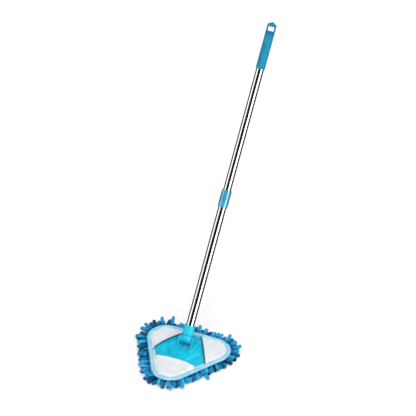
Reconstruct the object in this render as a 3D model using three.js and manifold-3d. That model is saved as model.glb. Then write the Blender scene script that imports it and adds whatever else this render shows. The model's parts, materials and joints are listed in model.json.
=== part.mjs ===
// Flat triangular chenille mop on a two-section telescopic pole.
// Millimetres, +Z up. The origin is the middle of the sole, on the floor; +X runs along the
// pivot pin and the pole leans back towards +Y.

import * as THREE from 'three';
import { mergeVertices } from 'three/addons/utils/BufferGeometryUtils.js';
import Module from 'manifold-3d';

const wasm = await Module();
wasm.setup();

// Fits
const restGap = 0.3;          // between pieces that only rest on each other
const pressGap = 0.15;        // radial, between pieces that are pressed together
const slideGap = 0.1;         // radial, between the two tubes
const turnGap = 0.3;          // radial, between a turning piece and its bearing
const sideGap = 0.8;          // axial, each side of the knuckle between the ears

// Head outline: three round corners on a circle, joined by straight sides
const cornerReach = 75.3;     // middle of the head to the middle of each corner arc
const bindingCornerRadius = 51.3;
const bindingWidth = 11.5;
const bindingThickness = 3;
const fringeReach = 27;       // how far the strands stand out beyond the binding
const fringeHeight = 19.5;
const soleThickness = 15.7;
const clothThickness = 1.2;
const cornerAngles = { front: -90, right: 30, left: 150 };

// Base plate
const plateSideDistance = 72.5;   // middle of the plate to each of its three sides
const plateThickness = 3.3;
const plateBevel = 0.8;
const deckReach = 27.7;           // raised middle of the plate
const deckCornerRadius = 23.6;
const deckHeight = 2.5;
const deckWall = 2.4;
const ribThickness = 2;
const ribOffset = 20;
const slotWidth = 23;
const slotLength = 24;
const slotAhead = 14;             // how far the slot's front edge is ahead of the pin

// Cloth pockets over the plate's corners
const mouthDistance = 51;         // middle of the head to each pocket's mouth
const pocketCloth = 1.7;
const pocketSlack = 0.4;

// Yoke
const pinHeight = 44;             // above the floor
const pinSetback = 22;            // behind the middle of the head
const pinRadius = 3;
const earThickness = 4.5;
const earHeadRadius = 6.5;
const earFrontFoot = 19;          // from the pin forward to the foot of the ear
const earBackFoot = 13;
const capRadius = 4.3;
const capThickness = 1.4;

// Knuckle and swivel
const barrelRadius = 9;
const swivelRadius = 6;
const shoulderRadius = 13.6;
const shoulderTop = 10.2;
const washerRadius = 8.2;
const washerThickness = 1.2;
const screwHeadRadius = 3.6;
const screwHeadHeight = 2.6;
const screwRadius = 1.8;
const screwLength = 12;
const recessWidth = 0.9;          // of the cross cut in both screws' heads
const recessDepth = 0.9;

// Socket; distances along the pole are from the pin
const socketBottom = 10.5;
const socketTop = 37;
const socketWall = 3.25;
const socketSideGap = 2.1;        // to each ear, as the socket swings down between them
const socketWeb = 5.5;
const tubeSeat = 22;
const retainerStation = 29.5;
const retainerRadius = 1.6;
const retainerHeadRadius = 3.2;
const retainerHeadHeight = 1.6;
const retainerInside = 2.5;       // how far the screw's tip stands inside the tube

// Tubes
const lowerTubeRadius = 11;
const tubeWall = 0.3;
const lowerTubeShown = 323.7;     // between the socket and the collar
const upperTubeShown = 330.7;     // between the collar and the grip, at full length
const tubeOverlap = 70;           // upper tube inside the collar and the lower tube
const tubeSetback = 8.6;          // from the upper tube's end to the end of the grip sleeve
const bushFlange = 6;
const bushSpigot = 14;
const bushBore = 6;

// Lock collar and what it holds
const collarLength = 47;
const collarWall = 1.15;
const collarLip = 3.2;
const collarBevel = 0.7;
const ferruleWall = 0.75;
const ferruleLength = 25;
const ferruleShoulder = 3.5;
const colletLength = 10;
const colletTaper = 0.45;
const colletSlit = 1.6;
const colletSlitCount = 4;

// Grip and hanging loop
const gripLength = 93.6;
const gripWall = 1.75;
const gripEndRadius = 1.2;
const windowHeight = 11.3;
const loopSideWall = 3.2;
const loopTopWall = 5.7;          // above the window, at the sides
const gableRise = 6.8;
const loopThickness = 6.5;
const loopBevel = 1.2;
const loopCornerRadius = 2;
const loopNeck = 10;              // from the sleeve's end to the window, tapering from round to flat
const loopRim = 1.5;
const loopSpigot = 30;
const loopSpigotWall = 2;

const poleLean = 38.5;            // degrees back from upright
const roundSides = 36;
const smallSides = 20;
const cornerSteps = 12;           // flats round each corner of the head's outlines

// Heights and radii that follow from the sizes above
const clothBottom = soleThickness + restGap;
const clothTop = clothBottom + clothThickness;
const plateBottom = clothTop + restGap;
const plateTop = plateBottom + plateThickness;
const deckTop = plateTop + deckHeight;
const plateCornerRadius = plateSideDistance - cornerReach / 2;
const bindingInnerRadius = bindingCornerRadius - bindingWidth;
const socketRadius = lowerTubeRadius + pressGap + socketWall;
const earInner = socketRadius + socketSideGap;
const earOuter = earInner + earThickness;
const lowerTubeBore = lowerTubeRadius - tubeWall;
const upperTubeRadius = lowerTubeBore - slideGap;
const upperTubeBore = upperTubeRadius - tubeWall;
const collarBottom = socketTop + lowerTubeShown;
const collarTop = collarBottom + collarLength;
const gripBottom = collarTop + upperTubeShown;
const neckBottom = gripBottom + gripLength;
const gripTop = neckBottom - restGap;
const gripRadius = upperTubeRadius + pressGap + gripWall;
const windowBottom = neckBottom + loopNeck;
const windowTop = windowBottom + windowHeight;
const loopShoulder = windowTop + loopTopWall;
const upperTubeBottom = collarTop - tubeOverlap;
const upperTubeTop = neckBottom - tubeSetback;
const ferruleInner = lowerTubeRadius + pressGap;
const ferruleOuter = ferruleInner + ferruleWall;
const collarInner = ferruleOuter + turnGap;
const collarRadius = collarInner + collarWall;
const colletTop = collarTop - collarLip - restGap;
const colletBottom = colletTop - colletLength;
const ferruleTop = colletBottom - restGap;
const ferruleBottom = ferruleTop - ferruleLength;
const lowerTubeTop = ferruleTop - ferruleShoulder - restGap;
const colletInner = upperTubeRadius + slideGap;
const webTop = socketBottom + socketWeb;
const swivelTop = webTop + restGap / 2;
const washerBottom = swivelTop + restGap;
const screwHeadBottom = washerBottom + washerThickness + restGap;

const radians = THREE.MathUtils.degToRad;

// Solid helpers

function asSolid(geometry) {
  const bare = geometry.clone();
  bare.deleteAttribute('normal');
  bare.deleteAttribute('uv');
  const welded = mergeVertices(bare, 1e-4);
  const corners = welded.index.array;
  const triangles = [];
  for (let i = 0; i < corners.length; i += 3) {
    const [a, b, c] = [corners[i], corners[i + 1], corners[i + 2]];
    if (a !== b && b !== c && c !== a) triangles.push(a, b, c);
  }
  const vertProperties = welded.attributes.position.array;
  const triVerts = new Uint32Array(triangles);
  return new wasm.Manifold(new wasm.Mesh({ numProp: 3, vertProperties, triVerts }));
}

function asGeometry(solid) {
  const mesh = solid.getMesh();
  const geometry = new THREE.BufferGeometry();
  geometry.setAttribute('position', new THREE.BufferAttribute(mesh.vertProperties, 3));
  geometry.setIndex(new THREE.BufferAttribute(mesh.triVerts, 1));
  geometry.computeVertexNormals();
  return geometry;
}

function joined(...geometries) {
  return geometries.map(asSolid).reduce((whole, piece) => whole.add(piece));
}

// Turns a profile of [radius, height] points about +Z, outer side going up.
function revolved(profile, sides = roundSides) {
  const points = profile.map(([radius, height]) => new THREE.Vector2(radius, height));
  const [first, last] = [points[0], points[points.length - 1]];
  if (first.x > 0 || last.x > 0) points.push(first.clone());
  return new THREE.LatheGeometry(points, sides).rotateX(Math.PI / 2);
}

function tube(inner, outer, bottom, top, sides = roundSides) {
  return revolved([[inner, bottom], [outer, bottom], [outer, top], [inner, top]], sides);
}

function rod(radius, bottom, top, sides = smallSides) {
  return revolved([[0, bottom], [radius, bottom], [radius, top], [0, top]], sides);
}

function block(size, centre = [0, 0, 0]) {
  return new THREE.BoxGeometry(...size).translate(...centre);
}

// Extrudes a shape drawn in X and Y from bottom to top along Z, with bevelled rims.
function slab(shape, bottom, top, bevel = 0, bevelWidth = bevel) {
  const settings = {
    depth: top - bottom - 2 * bevel,
    curveSegments: cornerSteps,
    bevelEnabled: bevel > 0,
    bevelThickness: bevel,
    bevelSize: bevelWidth,
    bevelOffset: -bevelWidth,
    bevelSegments: 1,
  };
  return new THREE.ExtrudeGeometry(shape, settings).translate(0, 0, bottom + bevel);
}

// Draws the head's three-cornered outline on a path; offset outlines share their corner arcs' middles.
function traceTriangle(path, reach, radius) {
  for (const angle of Object.values(cornerAngles)) {
    const middle = radians(angle);
    const [x, y] = [reach * Math.cos(middle), reach * Math.sin(middle)];
    path.absarc(x, y, radius, middle - Math.PI / 3, middle + Math.PI / 3, false);
  }
  path.closePath();
  return path;
}

function triangle(reach, radius) {
  return traceTriangle(new THREE.Shape(), reach, radius);
}

function triangleRing(reach, innerRadius, outerRadius) {
  const ring = triangle(reach, outerRadius);
  ring.holes.push(traceTriangle(new THREE.Path(), reach, innerRadius));
  return ring;
}

// Mop cover

function chenilleSole() {
  return slab(triangle(cornerReach, bindingCornerRadius), 0, soleThickness, 1);
}

function chenilleFringe() {
  const ring = triangleRing(cornerReach, bindingCornerRadius + restGap, bindingCornerRadius + fringeReach);
  const bevel = 4;
  const outside = slab(triangle(cornerReach, bindingCornerRadius + fringeReach), 0, fringeHeight, bevel);
  return asGeometry(asSolid(slab(ring, 0, fringeHeight)).intersect(asSolid(outside)));
}

function baseCloth() {
  return slab(triangle(cornerReach, bindingCornerRadius), clothBottom, clothTop);
}

function edgeBinding() {
  const ring = triangleRing(cornerReach, bindingInnerRadius, bindingCornerRadius);
  const bottom = clothTop + restGap;
  return slab(ring, bottom, bottom + bindingThickness, 0.9);
}

// One pocket: a roof over the plate's corner and a skirt that comes down round its edge.
function pocketFlap(angle) {
  const top = plateTop + pocketSlack + pocketCloth;
  const outside = slab(triangle(cornerReach, bindingInnerRadius - restGap), plateBottom, top, 0.6);
  const span = 2 * (cornerReach + bindingCornerRadius);
  const beyondMouth = block([span, 2 * span, span], [mouthDistance + span / 2, 0, 0]).rotateZ(radians(angle));
  const cavityTop = plateTop + pocketSlack;
  const cavity = slab(triangle(cornerReach, plateCornerRadius + pocketSlack), 0, cavityTop);
  return asGeometry(asSolid(outside).intersect(asSolid(beyondMouth)).subtract(asSolid(cavity)));
}

// Base plate and yoke

// An ear's side view: Y across and Z up, with its head round the pin.
function earOutline() {
  const foot = deckTop - deckHeight / 2;
  const rise = pinHeight - foot;
  const lean = (run) => Math.asin(earHeadRadius / Math.hypot(run, rise)) - Math.atan2(run, rise);
  const frontTangent = Math.PI + lean(earFrontFoot);
  const backTangent = -lean(earBackFoot);
  const shape = new THREE.Shape();
  shape.moveTo(pinSetback + earBackFoot, foot);
  shape.absarc(pinSetback, pinHeight, earHeadRadius, backTangent, frontTangent, false);
  shape.lineTo(pinSetback - earFrontFoot, foot);
  shape.closePath();
  return shape;
}

// Stands a shape drawn in X and Y up in the YZ plane, from x = start to x = end.
function alongX(shape, start, end) {
  const settings = { depth: end - start, bevelEnabled: false, curveSegments: 16 };
  const stand = new THREE.Matrix4().set(0, 0, 1, start, 1, 0, 0, 0, 0, 1, 0, 0, 0, 0, 0, 1);
  return new THREE.ExtrudeGeometry(shape, settings).applyMatrix4(stand);
}

function rodAlongX(radius, start, end) {
  return rod(radius, start, end).rotateY(Math.PI / 2).translate(0, pinSetback, pinHeight);
}

// The hollow under the deck, with stiffening ribs left standing in it.
function deckHollow() {
  const hollowTop = deckTop - deckWall;
  const hollow = asSolid(slab(triangle(deckReach, deckCornerRadius - deckHeight - deckWall), 0, hollowTop));
  const ribs = [-ribOffset, ribOffset].map((x) => block([ribThickness, 200, 100], [x, 0, 0]));
  ribs.push(block([200, ribThickness, 100], [0, -ribOffset / 2, 0]));
  const slotWidthWithWall = slotWidth + 2 * ribThickness;
  const slotMiddle = pinSetback - slotAhead + slotLength / 2;
  ribs.push(block([slotWidthWithWall, slotLength + 2 * ribThickness, 100], [0, slotMiddle, 0]));
  return hollow.subtract(joined(...ribs));
}

function basePlate() {
  const plate = slab(triangle(cornerReach, plateCornerRadius), plateBottom, plateTop, plateBevel);
  const deckShape = triangle(deckReach, deckCornerRadius);
  const deck = slab(deckShape, plateTop - deckHeight, deckTop, deckHeight);
  const ears = [-earOuter, earInner].map((x) => alongX(earOutline(), x, x + earThickness));
  const slotMiddle = pinSetback - slotAhead + slotLength / 2;
  const cuts = joined(
    block([slotWidth, slotLength, 100], [0, slotMiddle, plateBottom]),
    rodAlongX(pinRadius + pressGap, -earOuter - 1, earOuter + 1),
    rodAlongX(capRadius + pressGap, -earOuter - 1, -earOuter + capThickness + pressGap),
    rodAlongX(capRadius + pressGap, earOuter - capThickness - pressGap, earOuter + 1),
  );
  return asGeometry(joined(plate, deck, ...ears).subtract(deckHollow()).subtract(cuts));
}

function pivotPin() {
  const half = earOuter - capThickness - restGap - pressGap;
  return rodAlongX(pinRadius, -half, half);
}

function pinCap(side) {
  const [inner, outer] = [earOuter - capThickness, earOuter];
  return side < 0 ? rodAlongX(capRadius, -outer, -inner) : rodAlongX(capRadius, inner, outer);
}

// Knuckle, swivel and socket: +Z along the pole, origin at the pin

function swivelKnuckle() {
  const half = earInner - sideGap;
  const barrel = rod(barrelRadius, -half, half, roundSides).rotateY(Math.PI / 2);
  const neck = rod(shoulderRadius, 0, shoulderTop, roundSides);
  const spindle = rod(swivelRadius, 0, swivelTop);
  const pinBore = rod(pinRadius + turnGap, -earInner, earInner).rotateY(Math.PI / 2);
  const screwEnd = screwHeadBottom - screwLength;
  const screwBore = rod(screwRadius + pressGap, screwEnd - restGap, swivelTop + 1);
  return asGeometry(joined(barrel, neck, spindle).subtract(joined(pinBore)).subtract(joined(screwBore)));
}

function swivelWasher() {
  return tube(screwRadius + pressGap, washerRadius, washerBottom, washerBottom + washerThickness, smallSides);
}

// The cross cut in a screw's head: two bars made in the XY plane and then moved by place.
function crossRecess(headRadius, place) {
  const arm = 1.3 * headRadius;
  const depth = 2 * recessDepth;
  return joined(...[[arm, recessWidth, depth], [recessWidth, arm, depth]].map((size) => place(block(size))));
}

function swivelScrew() {
  const end = screwHeadBottom - screwLength;
  const headTop = screwHeadBottom + screwHeadHeight;
  const profile = [
    [0, end],
    [screwRadius * 0.5, end],
    [screwRadius, end + screwRadius],
    [screwRadius, screwHeadBottom],
    [screwHeadRadius, screwHeadBottom],
    [screwHeadRadius, headTop - 1],
    [screwHeadRadius - 1, headTop],
    [0, headTop],
  ];
  const recess = crossRecess(screwHeadRadius, (bar) => bar.translate(0, 0, headTop));
  return asGeometry(joined(revolved(profile, smallSides)).subtract(recess));
}

// The socket's retaining screw lies square to the pole, on the side that faces down.
function retainer(radius, from, to) {
  return rod(radius, from, to).rotateX(-Math.PI / 2).translate(0, 0, retainerStation);
}

function poleSocket() {
  const bevel = 1;
  const profile = [
    [swivelRadius + turnGap, socketBottom],
    [socketRadius - 2 * bevel, socketBottom],
    [socketRadius, socketBottom + 2 * bevel],
    [socketRadius, socketTop - bevel],
    [socketRadius - bevel, socketTop],
    [lowerTubeRadius + pressGap, socketTop],
    [lowerTubeRadius + pressGap, tubeSeat],
    [washerRadius + turnGap, tubeSeat],
    [washerRadius + turnGap, webTop],
    [swivelRadius + turnGap, webTop],
  ];
  const bore = retainer(retainerRadius + pressGap, 0, socketRadius + 1);
  const headSeat = socketRadius - retainerHeadHeight - restGap;
  const sink = retainer(retainerHeadRadius + restGap, headSeat, socketRadius + 1);
  return asGeometry(joined(revolved(profile)).subtract(joined(bore, sink)));
}

function socketScrew() {
  const headTop = socketRadius - restGap / 2;
  const shank = retainer(retainerRadius, lowerTubeBore - retainerInside, headTop - 0.5);
  const head = retainer(retainerHeadRadius, headTop - retainerHeadHeight, headTop);
  const place = (bar) => bar.rotateX(Math.PI / 2).translate(0, headTop, retainerStation);
  const recess = crossRecess(retainerHeadRadius, place);
  return asGeometry(joined(shank, head).subtract(recess));
}

// Tubes

function lowerTube() {
  const wall = tube(lowerTubeBore, lowerTubeRadius, tubeSeat + restGap, lowerTubeTop);
  const hole = retainer(retainerRadius + pressGap, 0, lowerTubeRadius + 1);
  return asGeometry(joined(wall).subtract(joined(hole)));
}

function upperTube() {
  return tube(upperTubeBore, upperTubeRadius, upperTubeBottom, upperTubeTop);
}

function guideBush() {
  const flangeTop = upperTubeBottom - restGap;
  const spigotRadius = upperTubeBore - pressGap;
  return revolved([
    [bushBore, flangeTop - bushFlange],
    [upperTubeRadius - 1, flangeTop - bushFlange],
    [upperTubeRadius, flangeTop - bushFlange + 1],
    [upperTubeRadius, flangeTop],
    [spigotRadius, flangeTop],
    [spigotRadius, flangeTop + bushSpigot],
    [bushBore, flangeTop + bushSpigot],
  ]);
}

// Lock collar and what it holds

function threadFerrule() {
  const shoulderInner = upperTubeRadius + turnGap;
  return revolved([
    [ferruleInner, ferruleBottom],
    [ferruleOuter - 0.5, ferruleBottom],
    [ferruleOuter, ferruleBottom + 0.5],
    [ferruleOuter, ferruleTop],
    [shoulderInner, ferruleTop],
    [shoulderInner, ferruleTop - ferruleShoulder],
    [ferruleInner, ferruleTop - ferruleShoulder],
  ]);
}

function splitCollet() {
  const ring = revolved([
    [colletInner, colletBottom],
    [ferruleOuter, colletBottom],
    [ferruleOuter, colletBottom + colletLength / 3],
    [ferruleOuter - colletTaper, colletTop],
    [colletInner, colletTop],
  ]);
  const slits = [];
  for (let i = 0; i < colletSlitCount; i += 1) {
    const depth = i === 0 ? colletLength * 3 : colletLength * 1.2;
    const slit = block([2 * ferruleOuter, colletSlit, depth], [ferruleOuter, 0, colletTop]);
    slits.push(slit.rotateZ(2 * Math.PI * (i + 0.25) / colletSlitCount));
  }
  return asGeometry(joined(ring).subtract(joined(...slits)));
}

function lockCollar() {
  return revolved([
    [collarInner, collarBottom],
    [collarRadius - collarBevel, collarBottom],
    [collarRadius, collarBottom + collarBevel],
    [collarRadius, collarTop - collarBevel],
    [collarRadius - collarBevel, collarTop],
    [upperTubeRadius + turnGap, collarTop],
    [upperTubeRadius + turnGap, colletTop + restGap],
    [collarInner - colletTaper, colletTop + restGap],
    [collarInner, colletBottom + colletLength / 3],
  ]);
}

// Grip and hanging loop

function gripSleeve() {
  const bore = upperTubeRadius + pressGap;
  return revolved([
    [bore, gripBottom],
    [gripRadius - gripEndRadius, gripBottom],
    [gripRadius - gripEndRadius * 0.3, gripBottom + gripEndRadius * 0.3],
    [gripRadius, gripBottom + gripEndRadius],
    [gripRadius, gripTop],
    [bore, gripTop],
  ]);
}

function hangerLoop() {
  const half = gripRadius;
  const outline = new THREE.Shape();
  outline.moveTo(-half, neckBottom + loopRim / 2);
  outline.lineTo(half, neckBottom + loopRim / 2);
  outline.lineTo(half, loopShoulder);
  outline.lineTo(loopCornerRadius, loopShoulder + gableRise);
  outline.lineTo(-loopCornerRadius, loopShoulder + gableRise);
  outline.lineTo(-half, loopShoulder);
  outline.closePath();
  const opening = new THREE.Path();
  const side = half - loopSideWall;
  opening.moveTo(-side, windowBottom);
  opening.lineTo(side, windowBottom);
  opening.lineTo(side, windowTop);
  opening.lineTo(-side, windowTop);
  opening.closePath();
  const loopHalf = loopThickness / 2;
  const plate = slab(outline, -loopHalf, loopHalf, loopBevel).rotateX(Math.PI / 2);
  const window = slab(new THREE.Shape(opening.getPoints()), -gripRadius, gripRadius).rotateX(Math.PI / 2);
  const spigotRadius = upperTubeBore - pressGap;
  const stem = revolved([
    [spigotRadius - loopSpigotWall, neckBottom - loopSpigot],
    [spigotRadius, neckBottom - loopSpigot],
    [spigotRadius, neckBottom],
    [gripRadius, neckBottom],
    [gripRadius, neckBottom + loopRim],
    [loopThickness / 2, windowBottom - 1],
    [0, windowBottom - 1],
    [0, neckBottom],
    [spigotRadius - loopSpigotWall, neckBottom],
  ]);
  return asGeometry(joined(plate, stem).subtract(joined(window)));
}

// Assembly

function finish(colour, roughness, metalness) {
  return { color: colour, roughness, metalness };
}

const finishes = {
  chenille: finish('#2b7aa1', 1, 0),
  cloth: finish('#f2f1f3', 0.95, 0),
  binding: finish('#aedff2', 0.8, 0),
  headPlastic: finish('#26bfe0', 0.4, 0),
  steel: finish('#c9ccd0', 0.12, 1),
  hardware: finish('#b9bcc0', 0.35, 1),
  innerPlastic: finish('#dfe3e6', 0.55, 0),
  collarPlastic: finish('#3fb0dc', 0.3, 0),
  gripPlastic: finish('#3799c6', 0.55, 0),
};

function addNode(parent, name, geometry, colours) {
  const mesh = new THREE.Mesh(geometry, new THREE.MeshStandardMaterial(colours));
  mesh.name = name;
  parent.add(mesh);
}

const mop = new THREE.Group();
const head = new THREE.Group();
const pole = new THREE.Group();
pole.position.set(0, pinSetback, pinHeight);
pole.rotation.x = -radians(poleLean);
mop.add(head, pole);

addNode(head, 'chenille_sole', chenilleSole(), finishes.chenille);
addNode(head, 'chenille_fringe', chenilleFringe(), finishes.chenille);
addNode(head, 'base_cloth', baseCloth(), finishes.cloth);
addNode(head, 'edge_binding', edgeBinding(), finishes.binding);
for (const [place, angle] of Object.entries(cornerAngles)) {
  addNode(head, `pocket_flap_${place}`, pocketFlap(angle), finishes.cloth);
}
addNode(head, 'base_plate', basePlate(), finishes.headPlastic);
addNode(head, 'pivot_pin', pivotPin(), finishes.hardware);
addNode(head, 'pin_cap_left', pinCap(-1), finishes.headPlastic);
addNode(head, 'pin_cap_right', pinCap(1), finishes.headPlastic);

addNode(pole, 'swivel_knuckle', swivelKnuckle(), finishes.headPlastic);
addNode(pole, 'swivel_washer', swivelWasher(), finishes.hardware);
addNode(pole, 'swivel_screw', swivelScrew(), finishes.hardware);
addNode(pole, 'pole_socket', poleSocket(), finishes.headPlastic);
addNode(pole, 'socket_screw', socketScrew(), finishes.hardware);
addNode(pole, 'lower_tube', lowerTube(), finishes.steel);
addNode(pole, 'thread_ferrule', threadFerrule(), finishes.innerPlastic);
addNode(pole, 'split_collet', splitCollet(), finishes.innerPlastic);
addNode(pole, 'lock_collar', lockCollar(), finishes.collarPlastic);
addNode(pole, 'upper_tube', upperTube(), finishes.steel);
addNode(pole, 'guide_bush', guideBush(), finishes.innerPlastic);
addNode(pole, 'grip_sleeve', gripSleeve(), finishes.gripPlastic);
addNode(pole, 'hanger_loop', hangerLoop(), finishes.gripPlastic);

export default mop;
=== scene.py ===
import json
import math
import random

import bmesh
import bpy
import numpy as np
from mathutils import Matrix, Vector, noise
from mathutils.bvhtree import BVHTree


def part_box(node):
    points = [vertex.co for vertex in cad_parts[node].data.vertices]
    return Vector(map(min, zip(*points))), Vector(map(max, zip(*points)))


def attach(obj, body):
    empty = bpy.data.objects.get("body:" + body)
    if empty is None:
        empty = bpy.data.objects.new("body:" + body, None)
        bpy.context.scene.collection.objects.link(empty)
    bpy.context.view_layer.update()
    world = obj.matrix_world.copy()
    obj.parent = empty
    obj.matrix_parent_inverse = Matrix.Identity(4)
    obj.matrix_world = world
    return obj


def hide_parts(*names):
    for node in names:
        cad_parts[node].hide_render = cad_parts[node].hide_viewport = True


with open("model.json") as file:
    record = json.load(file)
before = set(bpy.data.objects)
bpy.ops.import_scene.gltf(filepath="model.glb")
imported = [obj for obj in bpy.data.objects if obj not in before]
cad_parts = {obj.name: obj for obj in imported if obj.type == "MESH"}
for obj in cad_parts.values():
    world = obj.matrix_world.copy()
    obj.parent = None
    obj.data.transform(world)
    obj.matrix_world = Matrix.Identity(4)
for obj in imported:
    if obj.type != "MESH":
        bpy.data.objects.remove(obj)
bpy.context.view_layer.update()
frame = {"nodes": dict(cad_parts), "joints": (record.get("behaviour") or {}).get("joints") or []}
print("frame loaded:", len(frame["nodes"]), "pieces")

mm = 0.001
joints = {joint["name"]: joint for joint in frame["joints"]}
pin = Vector(joints["head_tilt"]["pos_m"])
poleUp = Vector(joints["pole_slide"]["axis"])
poleLean = math.atan2(poleUp.y, poleUp.z)
corners = {"front": -90, "right": 30, "left": 150}


# Head outlines: three round corners joined by straight sides

def outlineOf(node):
    # how far out the corner arcs' middles lie, and the corners' radius
    low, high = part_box(node)
    reach = (-low.y - high.x) / (1 - math.cos(math.pi / 6))
    return reach, -low.y - reach


def outlineLength(reach, radius):
    return 2 * math.pi * radius + 3 * math.sqrt(3) * reach


def turned(angle):
    return Vector((math.cos(angle), math.sin(angle), 0))


def onOutline(reach, radius, share):
    # a point and its outward direction, a share of the way round
    arc = 2 * math.pi / 3 * radius
    side = math.sqrt(3) * reach
    sector, along = divmod(share % 1 * 3, 1)
    along *= arc + side
    middle = math.radians(list(corners.values())[int(sector)])
    angle = middle - math.pi / 3 + min(along, arc) / radius
    point = reach * turned(middle) + radius * turned(angle)
    if along > arc:
        point += (along - arc) * turned(angle + math.pi / 2)
    return point, turned(angle)


def loopOf(reach, radius, arcSteps, sideSteps):
    # matching points on every outline, whatever its size
    points = []
    for middle in map(math.radians, corners.values()):
        for step in range(arcSteps):
            angle = middle + math.pi / 3 * (2 * step / arcSteps - 1)
            points.append(reach * turned(middle) + radius * turned(angle))
        sideway = turned(middle + math.pi / 3)
        start = reach * turned(middle) + radius * sideway
        end = reach * turned(middle + 2 * math.pi / 3) + radius * sideway
        points += [start.lerp(end, step / sideSteps) for step in range(sideSteps)]
    return points


bindingReach, bindingRadius = outlineOf("edge_binding")
plateReach, plateRadius = outlineOf("base_plate")
clothLow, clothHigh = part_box("base_cloth")
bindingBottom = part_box("edge_binding")[0].z
bindingWidth = 11.5 * mm
bindingInner = bindingRadius - bindingWidth


# Meshes

def makePiece(name, points, faces, body):
    mesh = bpy.data.meshes.new(name)
    mesh.from_pydata(points, [], faces)
    mesh.update()
    mesh.shade_smooth()
    piece = bpy.data.objects.new(name, mesh)
    bpy.context.scene.collection.objects.link(piece)
    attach(piece, body)
    return piece


def lofted(rings, closed=True):
    # quads between rings of equally many points; closed also joins the last ring to the first
    count = len(rings[0])
    points = [point for ring in rings for point in ring]
    faces = []
    for row in range(len(rings) if closed else len(rings) - 1):
        lower, upper = row * count, (row + 1) % len(rings) * count
        for i in range(count):
            j = (i + 1) % count
            faces.append((lower + i, lower + j, upper + j, upper + i))
    return points, faces


def boxSolid(size, centre):
    tool = bmesh.new()
    bmesh.ops.create_cube(tool, size=1)
    bmesh.ops.scale(tool, vec=size, verts=tool.verts)
    bmesh.ops.translate(tool, vec=centre, verts=tool.verts)
    return tool


def rodSolid(radius, start, end):
    # a round bar along X through the pin's axis
    tool = bmesh.new()
    bmesh.ops.create_cone(tool, cap_ends=True, segments=64, radius1=radius, radius2=radius,
                          depth=end - start)
    middle = Vector(((start + end) / 2, pin.y, pin.z))
    bmesh.ops.transform(tool, matrix=Matrix.Translation(middle) @ Matrix.Rotation(math.pi / 2, 4, "Y"),
                        verts=tool.verts)
    return tool


def carve(piece, tool, operation):
    # joins or cuts a piece with a solid held in a bmesh
    mesh = bpy.data.meshes.new("tool")
    tool.to_mesh(mesh)
    tool.free()
    helper = bpy.data.objects.new("tool", mesh)
    bpy.context.scene.collection.objects.link(helper)
    step = piece.modifiers.new("carve", "BOOLEAN")
    step.operation = operation
    step.solver = "EXACT"
    step.object = helper
    settle(piece)
    bpy.data.objects.remove(helper)


def settle(piece):
    # applies the piece's modifiers to its mesh
    bpy.context.view_layer.update()
    evaluated = piece.evaluated_get(bpy.context.evaluated_depsgraph_get())
    piece.data = bpy.data.meshes.new_from_object(evaluated)
    piece.modifiers.clear()


def tidied(piece, angle):
    # smooth faces, with sharp edges kept where faces meet at more than angle
    piece.data.shade_smooth()
    piece.data.set_sharp_from_angle(angle=math.radians(angle))


# Materials

class Wire:
    # an output socket that takes part in sums
    def __init__(self, paint, socket):
        self.paint = paint
        self.socket = socket

    def sum(self, operation, first, second):
        return self.paint.node("ShaderNodeMath", {"operation": operation}, {0: first, 1: second})

    def __add__(self, other):
        return self.sum("ADD", self, other)

    def __mul__(self, other):
        return self.sum("MULTIPLY", self, other)

    __radd__ = __add__
    __rmul__ = __mul__


class Paint:
    # one material; fixed values go straight to the shader's own sockets
    def __init__(self, name, fixed):
        self.material = bpy.data.materials.new(name)
        self.material.use_nodes = True
        self.tree = self.material.node_tree
        self.shader = self.tree.nodes["Principled BSDF"]
        for socket, value in fixed.items():
            self.shader.inputs[socket].default_value = value
        self.place = self.node("ShaderNodeTexCoord", out="Object")

    def node(self, kind, settings=None, sockets=None, out=0):
        made = self.tree.nodes.new(kind)
        for name, value in (settings or {}).items():
            setattr(made, name, value)
        for name, value in (sockets or {}).items():
            if isinstance(value, Wire):
                self.tree.links.new(value.socket, made.inputs[name])
            else:
                made.inputs[name].default_value = value
        return Wire(self, made.outputs[out])

    def feed(self, socket, wire):
        self.tree.links.new(wire.socket, self.shader.inputs[socket])

    def mix(self, factor, first, second):
        return self.node("ShaderNodeMix", {"data_type": "RGBA"}, {0: factor, 6: first, 7: second}, 2)

    def noise(self, size, detail=2, vector=None, roughness=0.5):
        sockets = {"Vector": vector or self.place, "Scale": 1 / size, "Detail": detail,
                   "Roughness": roughness}
        return self.node("ShaderNodeTexNoise", {}, sockets, "Fac")

    def stretched(self, scale, lean=0):
        # object coordinates turned upright along a leaning pole, then scaled
        return self.node("ShaderNodeMapping", {"vector_type": "POINT"},
                         {"Vector": self.place, "Rotation": (lean, 0, 0), "Scale": scale}, "Vector")

    def ridges(self, size, direction, vector=None):
        # parallel ridges across X, Y or Z
        return self.node("ShaderNodeTexWave", {"bands_direction": direction},
                         {"Vector": vector or self.place, "Scale": math.pi / (20 * size)}, "Fac")

    def within(self, wire, low, high, smallest=0, largest=1):
        sockets = {"Value": wire, "From Min": low, "From Max": high, "To Min": smallest, "To Max": largest}
        return self.node("ShaderNodeMapRange", {"interpolation_type": "SMOOTHSTEP"}, sockets, "Result")

    def attribute(self, name):
        return self.node("ShaderNodeAttribute", {"attribute_name": name}, out="Fac")

    def bump(self, height, depth):
        sockets = {"Height": height, "Distance": depth}
        self.feed("Normal", self.node("ShaderNodeBump", {}, sockets, "Normal"))


def tone(red, green, blue):
    # a colour as read off a paint card, 0 to 255
    linear = [((v / 255 + 0.055) / 1.055) ** 2.4 if v > 10 else v / 3294.6 for v in (red, green, blue)]
    return (*linear, 1)


# deep is a painted shade colour for the roots and the gaps between strands; tip is a painted highlight
# colour for the lit tops of the tufts
yarnLook = {"deep": tone(0, 38, 68), "middle": tone(5, 147, 210), "tip": tone(70, 204, 246),
            "sheen": tone(90, 190, 240), "tuft": 1.1 * mm, "blotch": 7 * mm, "fibre": 0.35 * mm,
            "depth": 0.7 * mm}


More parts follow.
